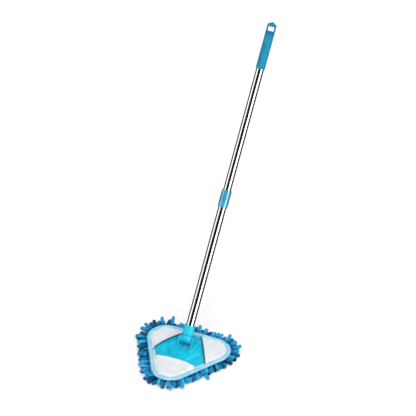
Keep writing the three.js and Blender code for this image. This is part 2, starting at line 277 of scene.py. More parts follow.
def chenilleYarn():
    paint = Paint("chenilleYarn", {"Roughness": 0.92, "Sheen Weight": 0.15, "Sheen Roughness": 0.5,
                                   "Sheen Tint": yarnLook["sheen"], "Specular IOR Level": 0.2})
    tufts = paint.noise(yarnLook["tuft"], 3)
    blotches = paint.noise(yarnLook["blotch"], 2)
    shade = paint.attribute("yarnToneAndPaintedShade")
    # painted shade: the yarn darkens to the deep colour at the roots, in the lower rows and between tufts
    depth = paint.within(shade + 0.3 * tufts + 0.2 * blotches, 0.4, 1.15)
    lit = paint.mix(depth, yarnLook["deep"], yarnLook["middle"])
    # painted highlight: the tops of the tufts turn to the pale tip colour, most on the least shaded strands
    paintedHighlight = paint.within(tufts + 0.55 * shade, 0.84, 1.2)
    paint.feed("Base Color", paint.mix(paintedHighlight, lit, yarnLook["tip"]))
    paint.bump(tufts + 0.4 * paint.noise(yarnLook["fibre"], 2), yarnLook["depth"])
    return paint.material


weave = {
    "wobble": 6 * mm,            # size and depth of the threads' waviness
    "drift": 0.6 * mm,
    "slub": 9 * mm,              # length and width of thick stretches in a thread
    "slubWidth": 0.7 * mm,
    "patch": 22 * mm,
    "paintedSlotShade": (48 * mm, 52 * mm),  # where the painted bluish shade in the middle fades out
}


def wovenCloth(name, pale, dim, thread, depth, sheen=0.2, paintedSlotShade=None, paintedMouthShadow=None):
    # a plain weave of threads along X and Y, a little uneven; it can take a painted bluish shade under
    # the middle of the plate and a dark painted shadow along a pocket mouth's edge
    paint = Paint(name, {"Roughness": 0.9, "Sheen Weight": sheen})
    wobble = paint.noise(weave["wobble"], 2)
    drift = weave["drift"] * wobble
    bent = paint.node("ShaderNodeVectorMath", {"operation": "ADD"},
                      {0: paint.place, 1: paint.node("ShaderNodeCombineXYZ", {}, {"X": drift, "Y": drift})})
    warp = paint.ridges(thread, "X", bent)
    weft = paint.ridges(thread, "Y", bent)
    fine = 1 / weave["slubWidth"]
    slubs = paint.noise(1, 3, paint.stretched((1 / weave["slub"], fine, fine)))
    patches = paint.noise(weave["patch"], 3)
    worn = paint.within(0.55 * patches + 0.3 * slubs + 0.15 * warp * weft, 0.3, 0.62)
    colour = paint.mix(worn, dim, pale)
    if paintedSlotShade:
        # painted shade: the cloth's middle, seen through the slot, is darker and bluish as if shaded and
        # lit by the cyan walls
        away = paint.node("ShaderNodeVectorMath", {"operation": "LENGTH"}, {0: paint.place}, "Value")
        colour = paint.mix(paint.within(away, *weave["paintedSlotShade"]), paintedSlotShade, colour)
    # painted shadow: a dark band along the pocket mouths, where the lifted cloth edge shades the plate
    if paintedMouthShadow:
        colour = paint.mix(paint.attribute("paintedMouthShadow"), colour, paintedMouthShadow)
    paint.feed("Base Color", colour)
    paint.feed("Roughness", paint.within(patches, 0.2, 0.8, 0.82, 0.97))
    paint.bump(warp * weft + 0.5 * slubs + 0.3 * wobble, depth)
    return paint.material


moulding = {
    "flow": (45, 45, 14),            # marks to the metre across and along the piece
    "scuffs": (900, 900, 60),
    "glowColours": (0.6, 0.9, 1.0),  # how far red, green and blue light sinks in, as shares of the depth
    "glowDepth": 1.5 * mm,
}


def mouldedPlastic(name, look, lean=0):
    # injection-moulded, with faint flow marks, fine grain and rubbed patches
    paint = Paint(name, {"Coat Roughness": look["coatRoughness"], "IOR": 1.49,
                         "Coat IOR": look.get("coatIndex", 1.5), "Specular IOR Level": look["shine"],
                         "Subsurface Weight": look["glow"], "Subsurface Radius": moulding["glowColours"],
                         "Subsurface Scale": moulding["glowDepth"]})
    flow = paint.noise(1, 3, paint.stretched(moulding["flow"], lean))
    grain = paint.noise(look["grain"], 2)
    scuffs = paint.noise(1, 4, paint.stretched(moulding["scuffs"], lean), 0.65)
    rubbed = paint.within(scuffs, 0.62, 0.78)
    body = paint.mix(paint.within(flow, 0.3, 0.7), look["dark"], look["light"])
    paint.feed("Base Color", paint.mix(0.25 * rubbed, body, look["worn"]))
    rough = look["roughness"]
    paint.feed("Roughness", paint.within(flow + 0.5 * rubbed, 0.3, 1.1, rough - 0.04, rough + 0.14))
    paint.feed("Coat Weight", paint.within(rubbed, 0, 1, look["coat"], 0.4 * look["coat"]))
    paint.bump(grain + 0.6 * rubbed, look["grainDepth"])
    return paint.material


headLook = {"dark": tone(6, 190, 224), "light": tone(12, 216, 244), "worn": tone(110, 226, 242),
            "roughness": 0.36, "coat": 0.16, "coatRoughness": 0.16,
            "grain": 0.7 * mm, "grainDepth": 0.03 * mm, "glow": 0.08, "shine": 0.3}
collarLook = {"dark": tone(36, 144, 190), "light": tone(62, 176, 214), "worn": tone(150, 215, 240),
              "roughness": 0.18, "coat": 0.9, "coatRoughness": 0.06,
              "grain": 0.9 * mm, "grainDepth": 0.015 * mm, "glow": 0.05, "shine": 0.5, "coatIndex": 2.2}
gripLook = {"dark": tone(16, 124, 162), "light": tone(32, 152, 192), "worn": tone(84, 176, 206),
            "roughness": 0.62, "coat": 0.02, "coatRoughness": 0.4,
            "grain": 0.45 * mm, "grainDepth": 0.06 * mm, "glow": 0.04, "shine": 0.12}
nylonLook = {"dark": tone(206, 210, 212), "light": tone(232, 235, 236), "worn": tone(245, 245, 245),
             "roughness": 0.45, "coat": 0.1, "coatRoughness": 0.2,
             "grain": 0.6 * mm, "grainDepth": 0.04 * mm, "glow": 0.2, "shine": 0.5}


polish = {
    "drawn": (1400, 1400, 6),        # marks to the metre across and along the tube
    "smears": (60, 60, 18),
    "hairlines": (2600, 2600, 90),
    "depth": 0.002 * mm,
    "dull": tone(238, 240, 242),
    "bright": tone(252, 252, 252),
}


def polishedTube():
    # chromed steel with drawn streaks along it and a few hairline scratches
    paint = Paint("polishedTube", {"Metallic": 1})
    drawn = paint.noise(1, 3, paint.stretched(polish["drawn"], poleLean))
    smears = paint.noise(1, 3, paint.stretched(polish["smears"], poleLean))
    hairlines = paint.within(paint.noise(1, 2, paint.stretched(polish["hairlines"], poleLean)), 0.68, 0.74)
    paint.feed("Base Color", paint.mix(0.5 * smears + 0.3 * drawn, polish["dull"], polish["bright"]))
    paint.feed("Roughness", 0.04 + 0.05 * smears + 0.12 * hairlines)
    paint.bump(drawn + 0.5 * hairlines, polish["depth"])
    return paint.material


plating = {"dull": tone(150, 152, 156), "bright": tone(214, 214, 212), "cloud": 1.4 * mm,
           "grain": 0.3 * mm, "depth": 0.02 * mm}


def platedScrew():
    # zinc-plated steel, cloudy and slightly grainy
    paint = Paint("platedScrew", {"Metallic": 1})
    cast = paint.noise(plating["cloud"], 3)
    paint.feed("Base Color", paint.mix(cast, plating["dull"], plating["bright"]))
    paint.feed("Roughness", paint.within(cast, 0.3, 0.7, 0.22, 0.45))
    paint.bump(paint.noise(plating["grain"], 2), plating["depth"])
    return paint.material


def sewingThread(name, pale, dim, ply=0.5 * mm, depth=0.1 * mm):
    # two twisted plies
    paint = Paint(name, {"Roughness": 0.7, "Sheen Weight": 0.3})
    twist = paint.ridges(ply, "DIAGONAL")
    paint.feed("Base Color", paint.mix(twist, dim, pale))
    paint.bump(twist, depth)
    return paint.material


finishes = {
    "yarn": chenilleYarn(),
    # the cover cloth carries a dark painted shadow along its pocket mouths
    "cloth": wovenCloth("coverCloth", tone(251, 254, 255), tone(237, 241, 246), 0.55 * mm, 0.1 * mm,
                        paintedMouthShadow=tone(12, 84, 108)),
    # the backing's middle takes a painted bluish shade
    "backing": wovenCloth("backingCloth", tone(252, 251, 253), tone(236, 233, 240), 0.55 * mm, 0.1 * mm,
                          paintedSlotShade=tone(84, 200, 236)),
    "binding": wovenCloth("bindingTape", tone(194, 242, 255), tone(138, 216, 246), 0.45 * mm, 0.12 * mm,
                          sheen=0.3),
    "head": mouldedPlastic("cyanMoulding", headLook),
    "collar": mouldedPlastic("collarMoulding", collarLook, poleLean),
    "grip": mouldedPlastic("gripMoulding", gripLook, poleLean),
    "nylon": mouldedPlastic("naturalNylon", nylonLook, poleLean),
    "tube": polishedTube(),
    "screw": platedScrew(),
    "paleThread": sewingThread("paleThread", tone(120, 196, 224), tone(84, 160, 196)),
    "whiteThread": sewingThread("whiteThread", tone(250, 250, 250), tone(205, 208, 214)),
}
print("materials mixed:", len(finishes))


def dress(piece, finish):
    piece.data.materials.clear()
    piece.data.materials.append(finishes[finish])


# Mop cover: chenille strands

yarn = {
    "radius": 4.8 * mm,
    "sides": 12,
    "rings": 18,
    "fuzz": 0.14,            # how far each tuft stands in or out, a share of the radius
    "curl": 0.16,            # most that a strand bends sideways, a share of its length
    "tip": 0.14,             # share of the length that rounds off
    "rootInset": 5 * mm,
    "sweep": Vector((-6.2, 4.6, 0)) * mm,   # the way the strands have been combed, as extra length
    "rows": [                # pitch along the edge, height of the roots, length beyond the edge, lift, droop and painted shade, darker in the lower rows as if shaded by the rows above
        # droop and shade
        {"pitch": 12.8 * mm, "height": 11.4 * mm, "length": 27 * mm, "lift": 12, "droop": 6 * mm,
         "shade": 0.98},
        {"pitch": 11.4 * mm, "height": 8.4 * mm, "length": 26.5 * mm, "lift": 3, "droop": 3.5 * mm,
         "shade": 0.66},
        {"pitch": 10.4 * mm, "height": 5 * mm, "length": 25 * mm, "lift": 0, "droop": 0.4 * mm,
         "shade": 0.42},
    ],
    "strays": [              # place round the edge in degrees, lift, yaw, extra length
        {"at": 153, "lift": 18, "yaw": 12, "longer": 5 * mm},
        {"at": 139, "lift": 44, "yaw": 22, "longer": 2 * mm},
        {"at": 133, "lift": 50, "yaw": -24, "longer": 4 * mm},
        {"at": 41, "lift": 62, "yaw": 10, "longer": 5 * mm},
        {"at": 32, "lift": 24, "yaw": -6, "longer": 6 * mm},
        {"at": -27, "lift": -6, "yaw": -16, "longer": 8 * mm},
        {"at": -71, "lift": 2, "yaw": -6, "longer": 4 * mm},
        {"at": -82, "lift": 2, "yaw": 10, "longer": 3 * mm},
    ],
    "stray": {"droop": 2 * mm, "thickness": 0.95, "shade": 0.85},
}


def addStrand(heap, dice, start, heading, length, droop, radius, shade):
    # one soft strand with a round tip, fuzzy all over; heap gathers the points, faces and each point's tone
    # with its painted shade
    rings, sides = heap["rings"], heap["sides"]
    sideways = heading.cross(Vector((0, 0, 1))).normalized()
    curl = dice.uniform(-yarn["curl"], yarn["curl"]) * length
    first = len(heap["points"])
    for ring in range(rings):
        share = ring / (rings - 1)
        roundTip = math.sqrt(max(0, 1 - max(0, (share - 1 + yarn["tip"]) / yarn["tip"]) ** 2))
        root = min(1, 0.55 + share * 2.5)
        middle = start + heading * length * share + sideways * curl * share ** 2
        middle.z -= droop * share ** 2
        middle.z = max(middle.z, 0.85 * radius)
        ahead = heading * length + sideways * 2 * curl * share
        ahead.z -= 2 * droop * share
        across = ahead.cross(Vector((0, 0, 1))).normalized()
        upward = across.cross(ahead).normalized()
        swell = radius * root * (0.93 + 0.1 * math.sin(share * math.pi)) * max(roundTip, 0.12)
        for side in range(sides):
            angle = 2 * math.pi * (side + 0.5 * (ring % 2)) / sides
            reach = swell * (1 + dice.uniform(-1, 1) * yarn["fuzz"])
            point = middle + reach * (math.cos(angle) * across + math.sin(angle) * upward)
            heap["points"].append((point.x, point.y, max(point.z, 0)))
            # painted shade: each strand darkens towards its root, where its neighbours shade it
            heap["tonesAndPaintedShades"].append(shade * (0.25 + 0.75 * min(1, share * 1.5)))
    addTubeFaces(heap, first, rings, sides)


def addTubeFaces(heap, first, rings, sides):
    # the skin of a closed tube whose rings of points start at first
    for ring in range(rings - 1):
        for side in range(sides):
            a = first + ring * sides + side
            b = first + ring * sides + (side + 1) % sides
            heap["faces"].append((a, a + sides, b + sides, b))
    last = first + (rings - 1) * sides
    heap["faces"].append(tuple(range(first, first + sides)))
    heap["faces"].append(tuple(reversed(range(last, last + sides))))


def newHeap(sides=0, rings=0):
    return {"points": [], "faces": [], "tonesAndPaintedShades": [], "sides": sides, "rings": rings}


def pieceFromHeap(name, heap, node):
    piece = makePiece(name, heap["points"], heap["faces"], "mop_head")
    # each point's own tone together with its painted shade
    shade = piece.data.attributes.new("yarnToneAndPaintedShade", "FLOAT", "POINT")
    shade.data.foreach_set("value", heap["tonesAndPaintedShades"])
    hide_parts(node)
    dress(piece, "yarn")


def aimed(outward, yaw, lift):
    flat = Matrix.Rotation(yaw, 3, "Z") @ outward
    return Vector((flat.x * math.cos(lift), flat.y * math.cos(lift), math.sin(lift)))


spread = {                   # how unevenly the edge strands are sewn
    "place": 0.3,            # share of the pitch
    "height": 0.6 * mm,
    "lift": 7,
    "leastLift": -8,
    "yaw": 26,
    "mostYaw": 48,
    "length": (0.8, 1.1),
    "radius": (0.88, 1.06),
    "droop": (0.5, 1.4),
    "shade": (0.5, 1.2),
}


def edgeStrands():
    dice = random.Random(7)
    heap = newHeap(yarn["sides"], yarn["rings"])
    rootRadius = bindingRadius - yarn["rootInset"]
    for row in yarn["rows"]:
        count = round(outlineLength(bindingReach, bindingRadius) / row["pitch"])
        for i in range(count):
            share = (i + dice.uniform(-spread["place"], spread["place"])) / count
            root, outward = onOutline(bindingReach, rootRadius, share)
            root.z = row["height"] + dice.uniform(-1, 1) * spread["height"]
            lift = math.radians(row["lift"] + max(spread["leastLift"], dice.gauss(0, spread["lift"])))
            yaw = max(-spread["mostYaw"], min(spread["mostYaw"], dice.gauss(0, spread["yaw"])))
            heading = aimed(outward, math.radians(yaw), lift)
            length = yarn["rootInset"] + row["length"] * dice.uniform(*spread["length"])
            length += outward.dot(yarn["sweep"])
            radius = yarn["radius"] * dice.uniform(*spread["radius"])
            droop = row["droop"] * dice.uniform(*spread["droop"])
            shade = row["shade"] * dice.uniform(*spread["shade"])
            addStrand(heap, dice, root, heading, length, droop, radius, shade)
    droop, shade = yarn["stray"]["droop"], yarn["stray"]["shade"]
    radius = yarn["stray"]["thickness"] * yarn["radius"]
    for stray in yarn["strays"]:
        root, outward = nearestTo(stray["at"], rootRadius)
        root.z = yarn["rows"][0]["height"]
        heading = aimed(outward, math.radians(stray["yaw"]), math.radians(stray["lift"]))
        length = yarn["rootInset"] + yarn["rows"][0]["length"] + stray["longer"]
        addStrand(heap, dice, root, heading, length, droop, radius, shade)
    pieceFromHeap("chenille_edge_strands", heap, "chenille_fringe")


def nearestTo(degrees, radius):
    # the outline's point in that direction from the middle of the head
    wanted = turned(math.radians(degrees))
    shares = [i / 360 for i in range(360)]
    best = max(shares, key=lambda share: onOutline(bindingReach, radius, share)[0].normalized().dot(wanted))
    return onOutline(bindingReach, radius, best)


def insideOutline(point, reach, radius):
    spots = [reach * turned(math.radians(angle)) for angle in corners.values()]
    if min((point - spot).length for spot in spots) < radius:
        return True
    sides = [turned(math.radians(angle + 60)) for angle in corners.values()]
    beyond = max(point.dot(side) for side in sides) > reach / 2 + radius
    along = max(point.dot(turned(math.radians(angle))) for angle in corners.values())
    return not beyond and along < reach


sole = {
    "spacing": 11.5 * mm,
    "rowSpacing": 0.87,          # share of the spacing
    "length": 21 * mm,
    "radius": 4.5 * mm,
    "sides": 10,
    "rings": 12,
    "inset": 3 * mm,             # from the cover's edge to the outermost roots
    "overhang": 4 * mm,          # how far past those a strand may start
    "back": 0.4,                 # share of a strand that lies behind its place
    "extent": 0.3,               # metres either way of the middle that are looked at
    "rootHeight": (7, 10),       # mm
    "lengthShare": (0.85, 1.1),
    "droop": (3, 6),             # mm
    "shade": (0.55, 0.95),
}


def soleStrands():
    dice = random.Random(19)
    heap = newHeap(sole["sides"], sole["rings"])
    spacing = sole["spacing"]
    edge = bindingRadius - sole["inset"]
    steps = int(sole["extent"] / spacing)
    for row in range(-steps, steps + 1):
        for column in range(-steps, steps + 1):
            spot = Vector(((column + 0.5 * (row % 2)) * spacing, row * spacing * sole["rowSpacing"], 0))
            if not insideOutline(spot, bindingReach, edge):
                continue
            angle = dice.uniform(0, 2 * math.pi)
            start = spot - sole["back"] * sole["length"] * turned(angle)
            if not insideOutline(start, bindingReach, edge + sole["overhang"]):
                start = spot
            start.z = dice.uniform(*sole["rootHeight"]) * mm
            end = start + sole["length"] * turned(angle)
            if not insideOutline(end, bindingReach, bindingRadius):
                angle += math.pi
            length = sole["length"] * dice.uniform(*sole["lengthShare"])
            droop = dice.uniform(*sole["droop"]) * mm
            shade = dice.uniform(*sole["shade"])
            addStrand(heap, dice, start, turned(angle), length, droop, sole["radius"], shade)
    pieceFromHeap("chenille_sole_strands", heap, "chenille_sole")


edgeStrands()
soleStrands()
print("chenille strands sewn")


# Mop cover: cloth, binding and pockets

cloth = {
    "inset": 1.2 * mm,
    "thickness": 1 * mm,
    "pucker": 0.25 * mm,
    "arcSteps": 20,
    "sideSteps": 26,
    "roundEdge": 0.6,            # mm, how far in its cut edge is rounded
    "ringStep": 3.2,             # mm between the rings of points, from the edge inwards
    "rings": 16,
    "middle": 0.5,               # size of the flat middle, a share of the outline
    "middleRadius": 2 * mm,
}


def backingCloth():
    # the white cloth that everything else is sewn to
    reach, outer = bindingReach, bindingRadius - cloth["inset"]
    middle = (clothLow.z + clothHigh.z) / 2
    half = cloth["thickness"] / 2
    step = cloth["ringStep"]
    upper, lower = [], []
    roundEdge = cloth["roundEdge"]
    flatRings = [step * (ring + 0.6) for ring in range(1, cloth["rings"] + 1)]
    for inset in (0, roundEdge / 2, roundEdge, *flatRings):
        radius = outer - inset * mm
        if radius <= 0:
            break
        loop = loopOf(reach, radius, cloth["arcSteps"], cloth["sideSteps"])
        edge = min(1, inset / roundEdge)
        upper.append([lifted(point, middle + half * edge) for point in loop])
        lower.append([lifted(point, middle - half * edge) for point in loop])
    inner = loopOf(reach * cloth["middle"], cloth["middleRadius"], cloth["arcSteps"], cloth["sideSteps"])
    upper.append([lifted(point, middle + half) for point in inner])
    lower.append([lifted(point, middle - half) for point in inner])
    points, faces = lofted(list(reversed(lower)) + upper, closed=False)
    count = len(inner)
    faces.append(tuple(range(count)))
    faces.append(tuple(len(points) - 1 - i for i in range(count)))
    piece = makePiece("backing_cloth", points, faces, "mop_head")
    bmeshTidy(piece)
    dress(piece, "backing")
    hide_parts("base_cloth")


def lifted(point, height):
    ripple = noise.noise(point * 90) * cloth["pucker"]
    return (point.x, point.y, height + ripple)


def bmeshTidy(piece):
    # welds doubled points and turns all faces out
    tool = bmesh.new()
    tool.from_mesh(piece.data)
    bmesh.ops.remove_doubles(tool, verts=tool.verts, dist=0.01 * mm)
    bmesh.ops.recalc_face_normals(tool, faces=tool.faces)
    tool.to_mesh(piece.data)
    tool.free()
    piece.data.shade_smooth()


tape = {
    "thickness": 0.9 * mm,
    "steps": 420,
    "gather": 0.35 * mm,          # ripples where it is eased round the corners
    "gatherPitch": 5.2 * mm,
    "sectionSteps": 22,
    "selvedge": 0.45,             # thickness left at both long edges, a share
    "section": [                  # inwards from the edge, and height above the binding's underside
        (0, 0.4), (1.2, 2.3), (4.5, 3.0), (8, 2.7), (10.6, 1.4), (11.9, -0.6), (10.8, -2.3),
        (7.5, -2.9), (4, -2.9),
    ],
}


def smoothLine(spots, count):
    # a smooth curve through spots, at equal steps
    padded = [2 * spots[0] - spots[1], *spots, 2 * spots[-1] - spots[-2]]
    line = []
    for i in range(1, len(padded) - 2):
        for step in range(16):
            t = step / 16
            a, b, c, d = padded[i - 1:i + 3]
            line.append(0.5 * (2 * b + (c - a) * t + (2 * a - 5 * b + 4 * c - d) * t * t
                               + (3 * b - a - 3 * c + d) * t ** 3))
    line.append(spots[-1])
    lengths = [0]
    for before, after in zip(line, line[1:]):
        lengths.append(lengths[-1] + (after - before).length)
    wanted = np.linspace(0, lengths[-1], count)
    flat = [np.interp(wanted, lengths, [spot[axis] for spot in line]) for axis in (0, 1)]
    return [Vector(pair) for pair in zip(*flat)], lengths[-1]


def bindingTape():
    spots = [Vector((a, b)) * mm for a, b in tape["section"]]
    middle, width = smoothLine(spots, tape["sectionSteps"])
    half = tape["thickness"] / 2
    outside, inside = [], []
    for i, spot in enumerate(middle):
        ahead = (middle[min(i + 1, len(middle) - 1)] - middle[max(i - 1, 0)]).normalized()
        across = Vector((-ahead.y, ahead.x))
        thin = tape["selvedge"] if i in (0, len(middle) - 1) else 1
        outside.append(spot + across * half * thin)
        inside.append(spot - across * half * thin)
    section = outside + inside[::-1]
    length = outlineLength(bindingReach, bindingRadius - bindingWidth / 2)
    rings = []
    for step in range(tape["steps"]):
        share = step / tape["steps"]
        wave = math.sin(2 * math.pi * round(length / tape["gatherPitch"]) * share)
        uneven = noise.noise(Vector((share * 60, 0.3, 0.7)))
        ring = []
        for spot in section:
            point, _ = onOutline(bindingReach, bindingInner + spot.x, share)
            shape = math.sin(math.pi * min(1, max(0, spot.x / bindingWidth)))
            lift = tape["gather"] * shape * (0.6 * wave + 1.2 * uneven)
            ring.append((point.x, point.y, bindingBottom + spot.y + lift))
        rings.append(ring)
    points, faces = lofted(rings)
    piece = makePiece("binding_tape", points, faces, "mop_head")
    bmeshTidy(piece)
    dress(piece, "binding")
    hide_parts("edge_binding")
    return piece, width, length


seam = {
    "stitch": 2.6 * mm,
    "pitch": 3.5 * mm,
    "thread": 0.34 * mm,
    "hemThread": 0.289 * mm,
    "rings": 6,
    "sides": 6,
    "fromInside": [2.2 * mm, 9.2 * mm],   # where the binding's two lines run
    "mouthShare": 0.93,                   # how much of a mouth's width its line takes
    "mouthPlace": 0.8,                    # its distance from the mouth, a share of the hem
}


def addStitch(heap, middle, along, up, length, radius):
    # one short plump stitch that dips in at both ends
    rings, sides = seam["rings"], seam["sides"]
    first = len(heap["points"])
    across = along.cross(up).normalized()
    for ring in range(rings):
        share = ring / (rings - 1)
        arch = math.sin(math.pi * share)
        centre = middle + along * length * (share - 0.5) + up * radius * (1.3 * arch - 0.9)
        swell = radius * (0.45 + 0.55 * arch)
        for side in range(sides):
            angle = 2 * math.pi * side / sides
            heap["points"].append(tuple(centre + swell * (math.cos(angle) * across + math.sin(angle) * up)))
    addTubeFaces(heap, first, rings, sides)


def bindingStitches(binding):
    heap = newHeap()
    surface = surfaceOf(binding)
    for inset in seam["fromInside"]:
        radius = bindingInner + inset
        count = round(outlineLength(bindingReach, radius) / seam["pitch"])
        for i in range(count):
            point, outward = onOutline(bindingReach, radius, i / count)
            along = Vector((-outward.y, outward.x, 0))
            spot, up = landed(surface, point)
            addStitch(heap, spot, along, up, seam["stitch"], seam["thread"])
    piece = makePiece("binding_stitches", heap["points"], heap["faces"], "mop_head")
    dress(piece, "paleThread")
    return piece


def surfaceOf(piece):
    tool = bmesh.new()
    tool.from_mesh(piece.data)
    tree = BVHTree.FromBMesh(tool)
    tool.free()
    return tree


def landed(surface, point):
    # straight down onto a surface
    spot, up, _, _ = surface.ray_cast(Vector((point.x, point.y, 0.1)), Vector((0, 0, -1)))
    return spot, up


pocket = {
    "thickness": 0.9 * mm,
    "rows": 44,
    "columns": 56,
    "tuck": 3.2 * mm,            # under the binding
    "hem": 5 * mm,
    "hemThickness": 0.5 * mm,
    "hemEdge": 0.8 * mm,
    "tipGap": 0.3 * mm,
    "overCloth": 0.75 * mm,      # height of its middle above the backing cloth and above the plate
    "overPlate": 1.1 * mm,
    "slope": 6.2 * mm,           # width of the climb from the cloth to the plate
    "crownWidth": 38 * mm,
    "lipLength": 26 * mm,        # how far in from the mouth its rise fades
    "fold": 0.35 * mm,
    "ripple": 0.35 * mm,
    "spacing": 1.5,              # more than 1 brings the rows closer towards the tip
    # how far the mouth's middle lies nearer the head's middle, its rise, and the painted shadow along its
    # mouth: how dark it is and how wide
    "shape": {
        "front": {"bow": 6 * mm, "rise": 3.2 * mm, "crown": 1.3 * mm, "paintedMouthShadow": 0.1, "edge": 2 * mm},
        "right": {"bow": -1.5 * mm, "rise": 3.2 * mm, "crown": 1.1 * mm, "paintedMouthShadow": 1, "edge": 4.6 * mm},
        "left": {"bow": -6 * mm, "rise": 3.8 * mm, "crown": 1.5 * mm, "paintedMouthShadow": 1, "edge": 4 * mm},
    },
}


def easeIn(value):
    value = min(1, max(0, value))
    return value * value * (3 - 2 * value)


def halfWidthAt(distance, reach, radius):
    # half the outline's width across a corner's direction
    if distance > reach + radius / 2:
        return math.sqrt(max(0, radius ** 2 - (distance - reach) ** 2))
    return (reach / 2 + radius - distance / 2) / math.sin(math.pi / 3)


def insetAt(distance, sideways, reach, radius):
    # how far inside the outline a point near a corner lies
    straight = reach / 2 + radius - (distance / 2 + abs(sideways) * math.sin(math.pi / 3))
    rounded = radius - math.hypot(distance - reach, sideways)
    inArc = distance > reach and abs(math.atan2(sideways, distance - reach)) < math.pi / 3
    return rounded if inArc else straight


def pocketFlap(place, angle):
    # a hemmed flap from its curved mouth to the head's corner, in two layers of points
    shape = pocket["shape"][place]
    heading, across = turned(math.radians(angle)), turned(math.radians(angle + 90))
    mouth = -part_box("pocket_flap_front")[1].y
    radius = bindingInner + pocket["tuck"]
    tip = bindingReach + radius - pocket["tipGap"]
    base = clothHigh.z + pocket["overCloth"]
    over = plateRim + pocket["overPlate"] - base
    grid = []
    for row in range(pocket["rows"] + 1):
        share = max(0, row - 2) / (pocket["rows"] - 2)
        line = []
        for column in range(pocket["columns"] + 1):
            side = 2 * column / pocket["columns"] - 1
            start = mouth - shape["bow"] * (1 - side * side)
            distance = start + shape["edge"] * min(row, 2) / 2
            distance += (tip - distance) * (1 - (1 - share) ** pocket["spacing"])
            sideways = side * halfWidthAt(distance, bindingReach, radius)
            inset = insetAt(distance, sideways, bindingReach, radius) - pocket["tuck"]
            slope = easeIn(inset / pocket["slope"])
            crown = easeIn(inset / pocket["crownWidth"]) * shape["crown"]
            fading = max(0, 1 - (distance - start) / pocket["lipLength"]) ** 2
            lip = fading * (1 - side ** 4) * shape["rise"]
            spot = heading * distance + across * sideways
            fold = noise.noise(spot * 55 + Vector((angle, 0, 0))) * pocket["fold"]
            fine = noise.noise(Vector((side * 9, share * 2.5, angle))) * pocket["ripple"]
            height = base + slope * (over + crown + lip + fold + fine)
            pastHem = distance - start - pocket["hem"]
            doubled = pocket["hemThickness"] * easeIn(1 - pastHem / pocket["hemEdge"])
            line.append((spot, height, doubled))
        grid.append(line)
    points, faces, paintedMouthShadow = [], [], []
    columns = pocket["columns"] + 1
    for top in (True, False):
        for row, line in enumerate(grid):
            for spot, height, doubled in line:
                # painted shadow on the first rows at the mouth
                paintedMouthShadow.append(shape["paintedMouthShadow"] if row < 2 else 0.0)
                offset = pocket["thickness"] / 2 + doubled if top else -pocket["thickness"] / 2
                points.append((spot.x, spot.y, height + offset))
    under = len(grid) * columns
    for row in range(len(grid) - 1):
        for column in range(columns - 1):
            a = row * columns + column
            faces.append((a, a + 1, a + columns + 1, a + columns))
            faces.append((under + a, under + a + columns, under + a + columns + 1, under + a + 1))
    rim = list(range(columns))
    rim += [row * columns + columns - 1 for row in range(1, len(grid))]
    rim += [(len(grid) - 1) * columns + column for column in reversed(range(columns - 1))]
    rim += [row * columns for row in reversed(range(1, len(grid) - 1))]
    for a, b in zip(rim, rim[1:] + rim[:1]):
        faces.append((a, under + a, under + b, b))
    piece = makePiece("pocket_cloth_" + place, points, faces, "mop_head")
    # the painted mouth shadow, per point
    shade = piece.data.attributes.new("paintedMouthShadow", "FLOAT", "POINT")
    shade.data.foreach_set("value", paintedMouthShadow)
    bmeshTidy(piece)
    dress(piece, "cloth")
    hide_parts("pocket_flap_" + place)
    flatArea = sum((b[0] - a[0]).length * (c[0] - a[0]).length
                   for r in range(len(grid) - 1) for a, b, c in zip(grid[r], grid[r][1:], grid[r + 1]))
    width = 2 * halfWidthAt(mouth, bindingReach, radius)
    tip - mouth
    min(flatArea, 0.99 * width * (tip - mouth))
    return piece, (heading, across, mouth, shape)


def pocketStitches(flaps):
    # the hem's stitch line along each mouth
    heap = newHeap()
    for piece, (heading, across, mouth, shape) in flaps:
        surface = surfaceOf(piece)
        half = halfWidthAt(mouth, bindingReach, bindingInner)
        count = int(2 * seam["mouthShare"] * half / seam["pitch"])
        for i in range(count):
            side = (2 * (i + 0.5) / count - 1) * seam["mouthShare"]
            distance = mouth - shape["bow"] * (1 - side * side) + seam["mouthPlace"] * pocket["hem"]
            spot, up = landed(surface, heading * distance + across * side * half)
            slant = (across * half + heading * 2 * shape["bow"] * side).normalized()
            addStitch(heap, spot, slant, up, seam["stitch"], seam["hemThread"])
    piece = makePiece("pocket_stitches", heap["points"], heap["faces"], "mop_head")
    dress(piece, "whiteThread")


# Base plate

plateShape = {
    "thickness": 3.3 * mm,
    "rim": 0.9 * mm,
    "deckReach": 27.7 * mm,
    "deckRadius": 23.6 * mm,
    "deckHeight": 2.5 * mm,
    "wall": 2.4 * mm,
    "step": 5 * mm,               # width of the slope up to the deck
    "earThickness": 4.5 * mm,
    "earHead": 6.5 * mm,
    "earFront": 19 * mm,
    "earBack": 13 * mm,
    "earRound": 1 * mm,
    "earSink": 1.2 * mm,
    "root": 7 * mm,               # how far out the fillet at an ear's foot runs
    "rootRise": 3.6 * mm,
    "slot": (23 * mm, 24 * mm),
    "slotAhead": 14 * mm,
    "slotRound": 1.5 * mm,
    "ribThickness": 2 * mm,
    "ribOffset": 20 * mm,
    "ribLength": 62 * mm,
    "ribBack": -2 * mm,           # where the long ribs' middles and the cross rib lie
    "crossRib": 76 * mm,
    "crossRibBack": -10 * mm,
    "ribSink": 1 * mm,            # how far below the deck's top the ribs end
    "crown": 0.5 * mm,
    "lowerRim": 0.5 * mm,
    "boreGap": 0.15 * mm,
    "arcSteps": 28,
    "sideSteps": 30,
    "rimSteps": 4,
    "slopeSteps": 14,
    "deckSteps": 40,
}
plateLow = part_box("base_plate")[0].z
plateRim = plateLow + plateShape["thickness"]
deckTop = plateRim + plateShape["deckHeight"]
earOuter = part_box("pin_cap_right")[1].x
earInner = earOuter - plateShape["earThickness"]


